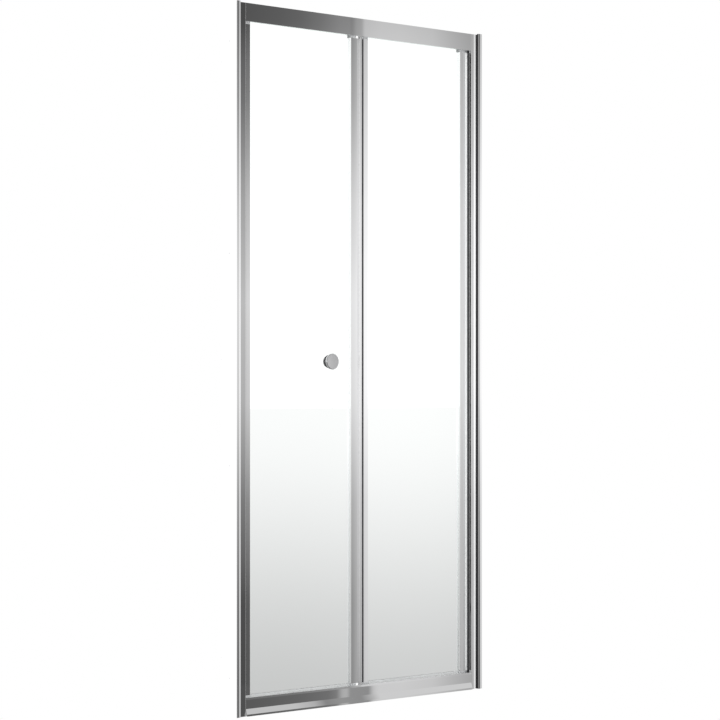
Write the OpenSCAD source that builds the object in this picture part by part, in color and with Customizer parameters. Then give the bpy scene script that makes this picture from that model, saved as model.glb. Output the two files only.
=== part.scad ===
// Bifold shower door in its frame: two glass panels that fold inwards about a hinge
// at their middle. X runs along the doorway, -Y is the outside, where the pull knob
// is, and +Z is up. The origin is on the sill, midway between the walls and midway
// through the frame. The upper ends repeat the lower ends, upside down.

/* [Doorway] */
// Width from wall to wall
door_w = 880; // [800:5:980]
// Height of the rails and posts
door_h = 1850; // [1700:10:2000]
// Front-to-back depth of the posts and rails
frame_d = 50; // [48:0.5:60]
// Wall thickness of the aluminium sections
skin = 1.8; // [1.4:0.1:2]

/* [Wall profiles] */
// Width of a wall profile seen from the front
profile_w = 13.5; // [12:0.5:18]
// How far a wall profile stands in front of its post
profile_step = 7; // [5:0.5:8]
// Thickness of the web that lies on the wall
profile_web = 2; // [1.6:0.1:3]
// Radius of a wall profile's front edge
profile_round = 2; // [1.5:0.5:5]
// Rise of a wall profile's crowned front at its middle
profile_crown = 0.5; // [0.2:0.1:0.8]
// Height of a wall profile above the top rail
profile_rise = 2; // [0:0.5:5]
// Clearance between a wall profile's flange and its post
profile_gap = 0.3; // [0.1:0.1:0.5]
// Radius of the holes for the wall screws
wall_hole_r = 2.6; // [2:0.1:3.2]
// Height of the lowest wall screw, and depth of the highest below the top
wall_hole_end = 100; // [80:5:200]
// Height of the lowest screw that holds a post in its wall profile
profile_screw_end = 150; // [120:5:250]

/* [Posts] */
// Width of a post seen from the front
post_show = 22; // [18:0.5:26]
// Room left behind a post for setting it plumb
post_back_gap = 1.5; // [1:0.25:2.5]
// Radius of the post's long edges
post_round = 1; // [0.5:0.25:2.5]
// Width of the pocket that holds the strike seal
seal_pocket_w = 5; // [4:0.5:7]
// Depth of the pocket that holds the strike seal
seal_pocket_d = 4; // [3:0.5:5]

/* [Rails] */
// Height of a rail's front face
rail_h = 47.5; // [46:0.5:54]
// How far a rail's front lip reaches past its track
rail_lip = 12; // [10:0.5:13]
// Depth of the track that the guide rollers run in
track_d = 20; // [19:0.5:24]
// Radius of the bosses that take the corner screws
port_r = 3.6; // [3:0.1:4]
// Height of the corner screws above a rail's outer face
port_z = 9; // [8:0.5:12]
// How far the sill's sloped foot stands in front of the rail
foot_step = 5; // [2:0.5:6]
// Height of the sloped foot
foot_h = 19; // [14:0.5:24]
// Height of the upright edge below the slope
foot_edge_h = 5; // [2:0.5:8]
// Height of the bevel along the top of the sill
lip_bevel = 5; // [3:0.5:8]

/* [Panels] */
// Gap between a post and the stile beside it
panel_gap = 7.5; // [7:0.5:12]
// Width of the two outer stiles
outer_stile_w = 20; // [18.5:0.5:24]
// Width of the pivot panel's fold stile
pivot_fold_w = 16; // [14:0.5:22]
// Width of the lead panel's fold stile
lead_fold_w = 18; // [14:0.5:24]
// Front-to-back depth of the stiles
stile_d = 20; // [19:0.5:24]
// Radius of the stiles' long edges
stile_round = 1; // [0.5:0.25:2.5]
// Distance from the frame's front to the middle of the glass
glass_set = 26.5; // [26:0.5:31]
// Thickness of the safety glass
glass_t = 5; // [4:0.5:6]
// How far the glass goes into a stile
glass_bite = 4; // [3:0.25:4.5]
// Thickness of the glazing gasket
gasket_t = 1.4; // [1:0.1:1.8]
// Free height between a panel and the track
panel_lift = 3.5; // [3:0.25:4.5]
// Height of the moulded caps on the ends of the stiles
cap_h = 12.5; // [12:0.5:20]
// Length of a cap's plug inside its stile
plug_l = 20; // [14:1:30]
// Height of a cap below the glass edge that it carries
glass_rise = 4; // [3:0.25:5]

/* [Fold hinge] */
// Distance of the hinge axis in front of the stiles
hinge_set = 2; // [1.5:0.25:3]
// Outer radius of the hinge barrel
barrel_r = 5; // [4.5:0.25:5.5]
// Radius of the hinge pins
hinge_pin_r = 2; // [1.5:0.1:2.4]
// Wall thickness of the hinge bushes
bush_t = 1.15; // [0.8:0.05:1.3]
// Length of a hinge bush inside the barrel
bush_l = 28; // [20:1:40]
// Distance from the hinge axis to the lead panel's fold stile
leaf_w = 12; // [10:0.5:15]
// Thickness of the leaf that joins that stile to the barrel
leaf_t = 2; // [1.6:0.1:2.4]
// Distance from the hinge axis to the pivot panel's fold stile
fold_gap = 15; // [12:0.5:18]
// Height of the arm that holds a hinge pin
arm_h = 8.5; // [7:0.5:11]

/* [Pivots and guides] */
// Distance from a pivot or guide pin to the stile's outer edge
pin_inset = 8.5; // [8:0.25:9]
// Radius of the pivot pins
pivot_pin_r = 4; // [3:0.1:4.5]
// Radius of the guide pins
guide_pin_r = 3; // [2.4:0.1:3.6]
// Running clearance round every pin
pin_gap = 0.05; // [0.03:0.01:0.08]
// Length of a pivot block, from the pin towards the doorway
block_l = 20; // [17:0.5:26]
// Radius of the guide rollers
roller_r = 8; // [7:0.25:8.5]
// Height of the guide rollers
roller_h = 8; // [6:0.5:9]
// Clearance between a roller and each side of the track
roller_gap = 0.5; // [0.3:0.1:0.7]
// Clearance between pieces that turn face to face
face_gap = 0.2; // [0.1:0.05:0.3]

/* [Pull knob] */
// Distance of the knob from the hinge axis
knob_x = 102; // [80:1:180]
// Height of the knob's middle above the sill
knob_z = 922; // [700:1:1150]
// Radius of the knob's face
knob_r = 21.5; // [19:0.5:26]
// Thickness of the knob's face
knob_face = 6; // [4:0.5:8]
// Radius of the knob's body
knob_body_r = 18.5; // [15:0.5:19]
// How far the knob stands out from the glass
knob_reach = 17; // [15:0.5:24]
// Number of grip grooves round the knob's body
knob_grooves = 2; // [1:1:3]
// Depth of the grip grooves
knob_groove_d = 1.6; // [0.6:0.1:2]
// Thickness of the plate behind the glass
back_plate_t = 3.5; // [3:0.25:5]
// Radius of the bolt through the glass
knob_bolt_r = 3; // [2.5:0.1:3.4]
// Thickness of the soft washers on the glass
knob_washer_t = 1; // [0.5:0.1:1.5]

/* [Hidden] */
$fn = 48;

// Places along the doorway, right of its middle
wall_x = door_w / 2;
profile_in_x = wall_x - profile_w;
post_in_x = profile_in_x - post_show;
post_w = post_show + profile_w - profile_web - post_back_gap;
stile_out_x = post_in_x - panel_gap;
outer_in_x = stile_out_x - outer_stile_w;
pin_x = stile_out_x - pin_inset;
pivot_fold_in_x = fold_gap + pivot_fold_w;
lead_fold_in_x = leaf_w + lead_fold_w;

// Places from front to back
frame_front = -frame_d / 2;
glass_y = frame_front + glass_set;
stile_front = glass_y - stile_d / 2;
hinge_y = stile_front - hinge_set;
profile_d = frame_d + 2 * profile_step;

// Heights above a rail's outer face
track_z = rail_h - rail_lip;
panel_z = track_z + panel_lift;
glass_z = panel_z + glass_rise;
stile_z = panel_z + cap_h;
track_floor_z = track_z - track_d;
track_half = roller_r + roller_gap;

// Groove in a stile, and the glass that stands in it
groove_w = glass_t + 2 * gasket_t;
groove_d = glass_bite + gasket_t;
glass_seat = 0.2;

// Corner screws, in bosses just inside a rail's front and back walls
corner_screw_r = 1.9;
corner_screw_l = 25;
port_sink = 0.6;
port_inset = skin + port_r - port_sink;
port_ys = [frame_front + port_inset, frame_d / 2 - port_inset];
corner_head_room = 0.2;
corner_head_r = port_inset - skin - corner_head_room;
corner_head_h = 2.2;
corner_tool_r = corner_head_r + 0.4;

// Screws that hold a post in its wall profile, under snap-on covers
profile_screw_r = 2;
profile_screw_l = 16;
profile_screw_in = 5.5;
profile_screw_x = wall_x - profile_web - profile_screw_in;
profile_head_r = 4;
profile_head_h = 2.4;
profile_screw_zs = [profile_screw_end, door_h / 2, door_h - profile_screw_end];
cover_r = 5.5;
cover_t = 0.9;
cover_h = 4;
flange_wall = 1.6;
back_round = 2;
crown_r = (pow(profile_w / 2, 2) + pow(profile_crown, 2)) / (2 * profile_crown);

// Wall screw holes, evenly spaced
wall_hole_count = 4;
wall_hole_pitch = (door_h - 2 * wall_hole_end) / (wall_hole_count - 1);

// Strike seal: a foot in the post's pocket, a neck and a hollow bulb
strike_clear = 1.2;
strike_reach = panel_gap - strike_clear;
bulb_share = 0.45;
bulb_r = strike_reach * bulb_share;
bulb_t = 1.1;
neck_w = 2;
seal_end = 1;

// Pivot blocks and pins
block_rise = 1.3;
block_top_z = track_z + block_rise;
pin_depth = 16;
pin_tip_room = 1;
pin_hold = 2;
block_screw_r = 1.9;
block_screw_in = 5.5;
block_screw_x = pin_x - block_l + block_screw_in;
block_head_r = 3.4;
block_head_h = 2.4;
block_screw_tip = 3.5;
washer_r = 7;

// Guide rollers and their pins
roller_drop = 3;
roller_near_z = track_z - roller_drop;
roller_far_z = roller_near_z - roller_h;
roller_bevel = 0.8;
guide_gap = 0.3;
guide_collar_r = guide_pin_r + 1.5;
guide_head_t = 1.5;

// Fold hinge
bush_r = hinge_pin_r + pin_gap + bush_t;
bush_flange = 0.8;
arm_top_z = panel_z + arm_h;
barrel_z = arm_top_z + face_gap + bush_flange;
arm_t = 5;
hinge_pin_end = 0.5;
hinge_pin_top_z = barrel_z + bush_l - 3;

// Soft strips on the panels
fin_clear = 1.6;
fin_w = panel_gap - fin_clear;
fin_t = 1.5;
fold_seal_t = 1.5;
fold_seal_foot_t = 2;
fold_seal_foot_w = 7;
fold_seal_clear = 0.5;
fold_seal_reach = 8;
wiper_t = 0.8;
wiper_grip = 9;
wiper_floor = 1.2;
wiper_drop = 1.7;
wiper_end = 0.3;

// Countersunk screws that hold the caps in the stiles
cap_screw_r = 1.5;
cap_screw_head_r = 3;
cap_screw_l = 9;

// Pull knob
knob_hole_r = 6;
knob_sleeve_r = 5.8;
knob_bolt_clear = 0.2;
knob_bevel = 1.5;
knob_edge = 1;
knob_thread = 12;
knob_neck_z = knob_reach - knob_face;
knob_grip_z = knob_washer_t + knob_edge;
knob_groove_pitch = (knob_neck_z - knob_grip_z) / knob_grooves;
knob_land = 0.6;
back_plate_r = 15.5;
// Height above the glass's front, and radius of the piece that presses on each washer
knob_washer_places = [[0, knob_body_r], [-glass_t - knob_washer_t, back_plate_r]];
bolt_head_r = 6;
bolt_head_h = 2.5;

// ---- helpers ----

// Repeats a piece of the lower end upside down at the upper end
module to_top() {
    translate([0, 0, door_h]) mirror([0, 0, 1]) children();
}

module both_ends() {
    children();
    to_top() children();
}

// Rectangle with round corners, centred
module rounded_box(w, d, r) {
    square([w - 2 * r, d], center = true);
    square([w, d - 2 * r], center = true);
    for (x = [-1, 1], y = [-1, 1])
        translate([x * (w / 2 - r), y * (d / 2 - r)]) circle(r);
}

// Puts a stile section's glass side at x, with its outer side towards side
module at_stile(x, side) {
    translate([x, glass_y, 0]) rotate([0, 0, side > 0 ? 0 : 180]) children();
}

// ---- frame ----

// Outline of a wall profile, with its doorway edges rounded
module profile_outline(half) {
    translate([profile_round, -half])
        square([profile_w - profile_round, profile_round]);
    translate([0, -half + profile_round])
        square([profile_w, profile_d - profile_round - back_round]);
    translate([back_round, half - back_round])
        square([profile_w - back_round, back_round]);
    translate([profile_round, -half + profile_round]) circle(profile_round);
    translate([back_round, half - back_round]) circle(back_round);
}

// All that lies behind the crowned front
module behind_crown(half) {
    translate([profile_w / 2, crown_r - half]) circle(crown_r, $fn = 240);
    translate([-1, crown_r - half]) square([profile_w + 2, profile_d]);
}

// Channel that embraces a post, from the doorway side at 0 to the wall at profile_w
module profile_section() {
    half = profile_d / 2;
    inner = frame_d / 2 + profile_gap;
    hollow_x = profile_round;
    difference() {
        intersection() {
            profile_outline(half);
            behind_crown(half);
        }
        translate([-1, -inner]) square([profile_w - profile_web + 1, 2 * inner]);
        for (side = [-1, 1])
            translate([hollow_x, side * (inner + half) / 2])
                translate([0, -(half - inner) / 2 + flange_wall])
                    square([profile_w - hollow_x - profile_web, half - inner - 2 * flange_wall]);
    }
}

module wall_profile() {
    color("silver")
    difference() {
        translate([profile_in_x, 0, 0])
            linear_extrude(door_h + profile_rise) profile_section();
        for (i = [0:wall_hole_count - 1])
            translate([wall_x - profile_web - 1, 0, wall_hole_end + i * wall_hole_pitch])
                rotate([0, 90, 0]) cylinder(r = wall_hole_r, h = profile_web + 2);
        for (z = profile_screw_zs)
            translate([profile_screw_x, frame_d / 2 - 1, z])
                rotate([-90, 0, 0]) cylinder(r = profile_screw_r, h = profile_step + 2);
    }
}

// Hollow post, from its doorway side at 0 outwards
module post_section(pocket) {
    inner_wall_w = seal_pocket_w + 2 * skin;
    difference() {
        translate([post_w / 2, 0]) rounded_box(post_w, frame_d, post_round);
        difference() {
            translate([skin, -frame_d / 2 + skin])
                square([post_w - 2 * skin, frame_d - 2 * skin]);
            if (pocket)
                translate([0, glass_y - inner_wall_w / 2])
                    square([seal_pocket_d + skin, inner_wall_w]);
        }
        if (pocket)
            translate([-1, glass_y - seal_pocket_w / 2])
                square([seal_pocket_d + 1, seal_pocket_w]);
    }
}

module corner_screw_places() {
    for (y = port_ys)
        translate([post_in_x, y, port_z]) rotate([0, 90, 0]) children();
}

module side_post(pocket) {
    color("silver")
    difference() {
        translate([post_in_x, 0, 0]) linear_extrude(door_h) post_section(pocket);
        both_ends() corner_screw_places() {
            translate([0, 0, -1]) cylinder(r = corner_screw_r, h = skin + 2);
        }
        both_ends() corner_screw_places() {
            translate([0, 0, post_w - skin - 1]) cylinder(r = corner_tool_r, h = skin + 2);
        }
        for (z = profile_screw_zs)
            translate([profile_screw_x, frame_d / 2 - skin - 1, z])
                rotate([-90, 0, 0]) cylinder(r = profile_screw_r, h = skin + 2);
    }
}

// The left side is the right side mirrored
module mirrored_left() {
    mirror([1, 0, 0]) children();
}

// Rail section, front to back along x and away from the rail's outer face along y
module rail_section() {
    track_front = glass_y - track_half;
    track_back = glass_y + track_half;
    chamber_h = track_z - 2 * skin;
    difference() {
        union() {
            difference() {
                union() {
                    translate([frame_front, 0]) square([frame_d, track_z]);
                    translate([frame_front, 0]) square([skin, rail_h]);
                }
                translate([frame_front + skin, skin])
                    square([track_front - skin - frame_front - skin, chamber_h]);
                translate([track_back + skin, skin])
                    square([frame_d / 2 - skin - track_back - skin, chamber_h]);
                translate([track_front, skin])
                    square([2 * track_half, track_floor_z - 2 * skin]);
                translate([track_front, track_floor_z])
                    square([2 * track_half, track_d + 1]);
            }
            for (y = port_ys) translate([y, port_z]) circle(port_r);
        }
        for (y = port_ys) translate([y, port_z]) circle(corner_screw_r);
    }
}

// Turns a rail section to stand across the doorway, past its ends by extra
module across(extra = 0) {
    rotate([90, 0, 90]) linear_extrude(2 * (post_in_x + extra), center = true) children();
}

module block_screw_place() {
    translate([block_screw_x, glass_y, 0]) children();
}

module rail_screw_hole() {
    block_screw_place() translate([0, 0, track_floor_z - skin - 1])
        cylinder(r = block_screw_r, h = skin + 2);
}

module top_rail() {
    color("silver")
    to_top() difference() {
        across() rail_section();
        rail_screw_hole();
    }
}

// The sill has a sloped foot in front and a bevel along the top of its lip
module sill_foot() {
    polygon([
        [frame_front + skin / 2, 0],
        [frame_front - foot_step, 0],
        [frame_front - foot_step, foot_edge_h],
        [frame_front, foot_h],
        [frame_front + skin / 2, foot_h]
    ]);
}

module lip_bevel_cut() {
    polygon([
        [frame_front - 1, rail_h + 1],
        [frame_front - 1, rail_h - lip_bevel],
        [frame_front, rail_h - lip_bevel],
        [frame_front + skin / 2, rail_h],
        [frame_front + skin / 2, rail_h + 1]
    ]);
}

module bottom_rail() {
    color("silver")
    difference() {
        union() {
            across() rail_section();
            across() sill_foot();
        }
        across(1) lip_bevel_cut();
        rail_screw_hole();
    }
}

module corner_screws() {
    color("gainsboro")
    for (side = [0, 1]) mirror([side, 0, 0])
        both_ends() corner_screw_places() {
            translate([0, 0, -corner_screw_l])
                cylinder(r = corner_screw_r, h = corner_screw_l + skin + corner_head_h / 2);
            translate([0, 0, skin]) cylinder(r = corner_head_r, h = corner_head_h);
        }
}

module profile_screw_places() {
    for (side = [0, 1], z = profile_screw_zs) mirror([side, 0, 0])
        translate([profile_screw_x, profile_d / 2, z]) rotate([-90, 0, 0]) children();
}

module profile_screws() {
    color("gainsboro")
    profile_screw_places() {
        cylinder(r = profile_head_r, h = profile_head_h);
        translate([0, 0, -profile_screw_l])
            cylinder(r = profile_screw_r, h = profile_screw_l + profile_head_h / 2);
    }
}

module screw_caps() {
    color("lightgray")
    profile_screw_places() difference() {
        cylinder(r = cover_r, h = cover_h);
        translate([0, 0, -1]) cylinder(r = cover_r - cover_t, h = cover_h - cover_t + 1);
    }
}

// Bulb seal in the left post, which the lead panel's stile closes against
module strike_seal_section() {
    bulb_x = bulb_r - strike_reach;
    difference() {
        union() {
            translate([0, -seal_pocket_w / 2]) square([seal_pocket_d, seal_pocket_w]);
            translate([bulb_x, -neck_w / 2]) square([seal_pocket_d - bulb_x, neck_w]);
            translate([bulb_x, 0]) circle(bulb_r);
        }
        translate([bulb_x, 0]) circle(bulb_r - bulb_t);
    }
}

module strike_seal() {
    color("lightgray")
    mirrored_left() translate([post_in_x, glass_y, rail_h + seal_end])
        linear_extrude(door_h - 2 * (rail_h + seal_end)) strike_seal_section();
}

// ---- pivots ----

module pivot_block() {
    back_x = pin_x - block_l;
    difference() {
        translate([back_x, glass_y - track_half, track_floor_z])
            cube([post_in_x - back_x, 2 * track_half, block_top_z - track_floor_z]);
        translate([pin_x, glass_y, track_z - pin_depth - pin_tip_room])
            cylinder(r = pivot_pin_r + pin_gap, h = pin_depth + block_rise + pin_tip_room + 1);
        block_screw_place() {
            translate([0, 0, track_floor_z - 1])
                cylinder(r = block_screw_r, h = block_top_z - track_floor_z + 2);
            translate([0, 0, block_top_z - block_head_h])
                cylinder(r = block_head_r, h = block_head_h + 1);
        }
    }
}

module pivot_block_screws() {
    color("gainsboro")
    both_ends() block_screw_place() {
        translate([0, 0, track_floor_z - skin - block_screw_tip])
            cylinder(r = block_screw_r, h = block_top_z - track_floor_z + skin + block_screw_tip - 1);
        translate([0, 0, block_top_z - block_head_h])
            cylinder(r = block_head_r, h = block_head_h);
    }
}

module pivot_pin() {
    translate([pin_x, glass_y, track_z - pin_depth])
        cylinder(r = pivot_pin_r, h = pin_depth + panel_lift + cap_h - pin_hold);
}

module pivot_washers() {
    color("white")
    both_ends() translate([pin_x, glass_y, block_top_z + face_gap]) difference() {
        cylinder(r = washer_r, h = panel_z - block_top_z - face_gap);
        translate([0, 0, -1]) cylinder(r = pivot_pin_r, h = panel_z);
    }
}

// ---- stiles, glass and gaskets ----

module stile_groove(w, d) {
    translate([-1, -w / 2]) square([d + 1, w]);
}

// Hollow stile of width w with a groove for the glass on its side at 0
module stile_section(w) {
    difference() {
        translate([w / 2, 0]) rounded_box(w, stile_d, stile_round);
        stile_groove(groove_w, groove_d);
        difference() {
            translate([skin, -stile_d / 2 + skin]) square([w - 2 * skin, stile_d - 2 * skin]);
            stile_groove(groove_w + 2 * skin, groove_d + skin);
        }
    }
}

module cap_screw_place(w) {
    translate([w, 0, stile_z + plug_l / 2]) rotate([0, -90, 0]) children();
}

// Countersunk screw, its head flush with the stile's outer side
module cap_screw() {
    cylinder(r1 = cap_screw_head_r, r2 = cap_screw_r, h = skin);
    cylinder(r = cap_screw_r, h = cap_screw_l);
}

// The countersink's cut, carried on past the stile's outer side
module cap_screw_cut() {
    spread = (cap_screw_head_r - cap_screw_r) / skin;
    translate([0, 0, -1])
        cylinder(r1 = cap_screw_head_r + spread, r2 = cap_screw_r, h = skin + 1);
    cylinder(r = cap_screw_r, h = cap_screw_l);
}

module stile(w) {
    difference() {
        translate([0, 0, stile_z]) linear_extrude(door_h - 2 * stile_z) stile_section(w);
        both_ends() cap_screw_place(w) cap_screw_cut();
    }
}

// Moulded cap with a plug that fills the stile and a seat for the glass
module stile_cap(w) {
    difference() {
        union() {
            translate([w / 2, 0, panel_z]) linear_extrude(cap_h)
                rounded_box(w, stile_d, stile_round);
            translate([groove_d + skin, -stile_d / 2 + skin, stile_z])
                cube([w - groove_d - 2 * skin, stile_d - 2 * skin, plug_l]);
        }
        translate([0, 0, glass_z]) linear_extrude(stile_z - glass_z + 1)
            stile_groove(glass_t + 2 * glass_seat, groove_d);
        cap_screw_place(w) cylinder(r = cap_screw_r, h = cap_screw_l);
    }
}

// Pane from x0 to x1 between two stiles
module pane(x0, x1) {
    translate([x0, glass_y - glass_t / 2, glass_z])
        cube([x1 - x0, glass_t, door_h - 2 * glass_z]);
}

// U-shaped gasket that fills a stile's groove around the glass
module glass_gasket() {
    translate([0, 0, stile_z]) linear_extrude(door_h - 2 * stile_z) difference() {
        translate([0, -groove_w / 2]) square([groove_d, groove_w]);
        stile_groove(glass_t, glass_bite);
    }
}

// Clear wiper that grips the lower edge of a pane, from x0 to x1
module bottom_wiper(x0, x1) {
    grip_w = glass_t + 2 * wiper_t;
    tip_z = track_z + wiper_drop;
    floor_z = glass_z - wiper_floor;
    translate([x0 + wiper_end, glass_y, 0])
        rotate([90, 0, 90]) linear_extrude(x1 - x0 - 2 * wiper_end) difference() {
            union() {
                translate([-grip_w / 2, floor_z]) square([grip_w, wiper_floor + wiper_grip]);
                translate([-wiper_t / 2, tip_z]) square([wiper_t, floor_z - tip_z + wiper_floor / 2]);
            }
            translate([-glass_t / 2, glass_z]) square([glass_t, wiper_grip + 1]);
        }
}

// ---- pivot panel ----

module pivot_outer_stile() {
    color("silver") at_stile(outer_in_x, 1) stile(outer_stile_w);
}

module pivot_fold_stile() {
    color("silver") at_stile(pivot_fold_in_x, -1) stile(pivot_fold_w);
}

module pivot_glass() {
    color("azure", 0.4) pane(pivot_fold_in_x - glass_bite, outer_in_x + glass_bite);
}

module pivot_glass_gaskets() {
    color("white") {
        at_stile(outer_in_x, 1) glass_gasket();
        at_stile(pivot_fold_in_x, -1) glass_gasket();
    }
}

module pivot_cap() {
    difference() {
        at_stile(outer_in_x, 1) stile_cap(outer_stile_w);
        translate([pin_x, glass_y, panel_z - 1])
            cylinder(r = pivot_pin_r, h = cap_h - pin_hold + 1);
    }
}

// Cap with an arm that carries a hinge pin on the fold axis
module hinge_cap() {
    difference() {
        union() {
            at_stile(pivot_fold_in_x, -1) stile_cap(pivot_fold_w);
            translate([0, stile_front, panel_z]) cube([fold_gap + stile_round, arm_t, arm_h]);
            translate([0, hinge_y, panel_z]) cylinder(r = barrel_r, h = arm_h);
        }
        translate([0, hinge_y, panel_z + hinge_pin_end])
            cylinder(r = hinge_pin_r, h = arm_h);
    }
}

module hinge_pins() {
    color("gainsboro")
    both_ends() translate([0, hinge_y, panel_z + hinge_pin_end])
        cylinder(r = hinge_pin_r, h = hinge_pin_top_z - panel_z - hinge_pin_end);
}

// Fin along the front edge of the pivot panel's outer stile
module pivot_side_seal() {
    fin_y = stile_front + stile_round;
    color("white")
    translate([stile_out_x, fin_y, stile_z])
        cube([fin_w, fin_t, door_h - 2 * stile_z]);
}

// Soft strip behind the hinge barrel, on the side of the pivot panel's fold stile
module fold_seal() {
    blade_y = hinge_y + barrel_r + fold_seal_clear;
    color("dimgray")
    translate([0, 0, stile_z]) linear_extrude(door_h - 2 * stile_z) {
        translate([-fold_seal_reach, blade_y])
            square([fold_seal_reach + fold_gap, fold_seal_t]);
        translate([fold_gap - fold_seal_foot_t, blade_y])
            square([fold_seal_foot_t, fold_seal_foot_w]);
    }
}

module pivot_bottom_seal() {
    color("white", 0.5) bottom_wiper(pivot_fold_in_x, outer_in_x);
}

module pivot_cap_screws() {
    color("gainsboro") both_ends() {
        at_stile(outer_in_x, 1) cap_screw_place(outer_stile_w) cap_screw();
        at_stile(pivot_fold_in_x, -1) cap_screw_place(pivot_fold_w) cap_screw();
    }
}

// ---- lead panel ----

module lead_outer_stile() {
    color("silver") at_stile(-outer_in_x, -1) stile(outer_stile_w);
}

// Fold stile with a leaf along its front that ends in the hinge barrel
module lead_fold_stile() {
    color("silver")
    difference() {
        union() {
            at_stile(-lead_fold_in_x, 1) stile(lead_fold_w);
            translate([-leaf_w - stile_round, stile_front, stile_z])
                cube([leaf_w + stile_round, leaf_t, door_h - 2 * stile_z]);
            translate([0, hinge_y, barrel_z]) cylinder(r = barrel_r, h = door_h - 2 * barrel_z);
        }
        translate([0, hinge_y, barrel_z - 1]) cylinder(r = bush_r, h = door_h - 2 * barrel_z + 2);
    }
}

module lead_glass() {
    color("azure", 0.4) difference() {
        pane(-outer_in_x - glass_bite, -lead_fold_in_x + glass_bite);
        at_knob() translate([0, 0, -glass_t - 1]) cylinder(r = knob_hole_r, h = glass_t + 2);
    }
}

module lead_glass_gaskets() {
    color("white") {
        at_stile(-outer_in_x, -1) glass_gasket();
        at_stile(-lead_fold_in_x, 1) glass_gasket();
    }
}

module guide_cap() {
    difference() {
        at_stile(-outer_in_x, -1) stile_cap(outer_stile_w);
        translate([-pin_x, glass_y, panel_z - 1])
            cylinder(r = guide_pin_r, h = cap_h - pin_hold + 1);
    }
}

module lead_fold_caps() {
    color("gainsboro") both_ends() at_stile(-lead_fold_in_x, 1) stile_cap(lead_fold_w);
}

// Flanged bush in each end of the barrel
module hinge_bushes() {
    color("white")
    both_ends() translate([0, hinge_y, barrel_z - bush_flange]) difference() {
        union() {
            cylinder(r = barrel_r, h = bush_flange);
            cylinder(r = bush_r, h = bush_flange + bush_l);
        }
        translate([0, 0, -1]) cylinder(r = hinge_pin_r + pin_gap, h = bush_l + 3);
    }
}

// Stepped pin: held in the cap, with a collar below the roller and a head past it
module guide_pins() {
    head_z = roller_far_z - guide_gap - guide_head_t;
    color("gainsboro")
    both_ends() translate([-pin_x, glass_y, 0]) {
        translate([0, 0, head_z]) cylinder(r = guide_pin_r, h = stile_z - pin_hold - head_z);
        translate([0, 0, head_z]) cylinder(r = guide_collar_r, h = guide_head_t);
        translate([0, 0, roller_near_z + guide_gap])
            cylinder(r = guide_collar_r, h = panel_z - roller_near_z - guide_gap);
    }
}

module guide_roller() {
    translate([-pin_x, glass_y, roller_far_z]) rotate_extrude() polygon([
        [guide_pin_r + pin_gap, 0],
        [roller_r - roller_bevel, 0],
        [roller_r, roller_bevel],
        [roller_r, roller_h - roller_bevel],
        [roller_r - roller_bevel, roller_h],
        [guide_pin_r + pin_gap, roller_h]
    ]);
}

module lead_bottom_seal() {
    color("white", 0.5) bottom_wiper(-outer_in_x, -lead_fold_in_x);
}

module lead_cap_screws() {
    color("gainsboro") both_ends() {
        at_stile(-outer_in_x, -1) cap_screw_place(outer_stile_w) cap_screw();
        at_stile(-lead_fold_in_x, 1) cap_screw_place(lead_fold_w) cap_screw();
    }
}

// ---- pull knob ----

// Stands on the glass's front face, pointing out of the door
module at_knob() {
    translate([-knob_x, glass_y - glass_t / 2, knob_z]) rotate([90, 0, 0]) children();
}

module knob_outer() {
    groove_w = knob_groove_pitch - knob_land;
    color("silver")
    at_knob() difference() {
        rotate_extrude($fn = 96) polygon([
            [0, knob_washer_t],
            [knob_body_r - knob_edge, knob_washer_t],
            for (i = [0:knob_grooves - 1])
                let (z = knob_grip_z + i * knob_groove_pitch) each [
                    [knob_body_r, z],
                    [knob_body_r - knob_groove_d, z + groove_w / 2],
                    [knob_body_r, z + groove_w]
                ],
            [knob_body_r, knob_neck_z],
            [knob_r - knob_edge, knob_neck_z],
            [knob_r, knob_neck_z + knob_edge],
            [knob_r, knob_reach - knob_bevel],
            [knob_r - knob_bevel, knob_reach],
            [0, knob_reach]
        ]);
        translate([0, 0, -1]) cylinder(r = knob_bolt_r, h = knob_thread + 1);
    }
}

// Depth of the knob's back plate behind the front of the glass
back_plate_z = -glass_t - knob_washer_t - back_plate_t;

module knob_inner() {
    color("silver")
    at_knob() translate([0, 0, back_plate_z]) difference() {
        rotate_extrude($fn = 96) polygon([
            [0, 0],
            [back_plate_r - knob_edge, 0],
            [back_plate_r, knob_edge],
            [back_plate_r, back_plate_t],
            [0, back_plate_t]
        ]);
        translate([0, 0, -1])
            cylinder(r = knob_bolt_r + knob_bolt_clear, h = back_plate_t + 2);
        translate([0, 0, -1]) cylinder(r = bolt_head_r, h = bolt_head_h + 1);
    }
}

module knob_bolt() {
    socket_r = 2.3;
    socket_h = 1.6;
    color("gainsboro")
    at_knob() translate([0, 0, back_plate_z]) difference() {
        union() {
            cylinder(r = bolt_head_r, h = bolt_head_h);
            cylinder(r = knob_bolt_r, h = knob_thread - back_plate_z);
        }
        translate([0, 0, -1]) cylinder(r = socket_r, h = socket_h + 1, $fn = 6);
    }
}

module knob_sleeve() {
    color("white")
    at_knob() translate([0, 0, -glass_t]) difference() {
        cylinder(r = knob_sleeve_r, h = glass_t);
        translate([0, 0, -1]) cylinder(r = knob_bolt_r + knob_bolt_clear, h = glass_t + 2);
    }
}

module knob_washers() {
    color("white")
    at_knob() for (place = knob_washer_places) translate([0, 0, place[0]]) difference() {
        cylinder(r = place[1] - knob_edge, h = knob_washer_t);
        translate([0, 0, -1]) cylinder(r = knob_hole_r, h = knob_washer_t + 2);
    }
}

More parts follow.
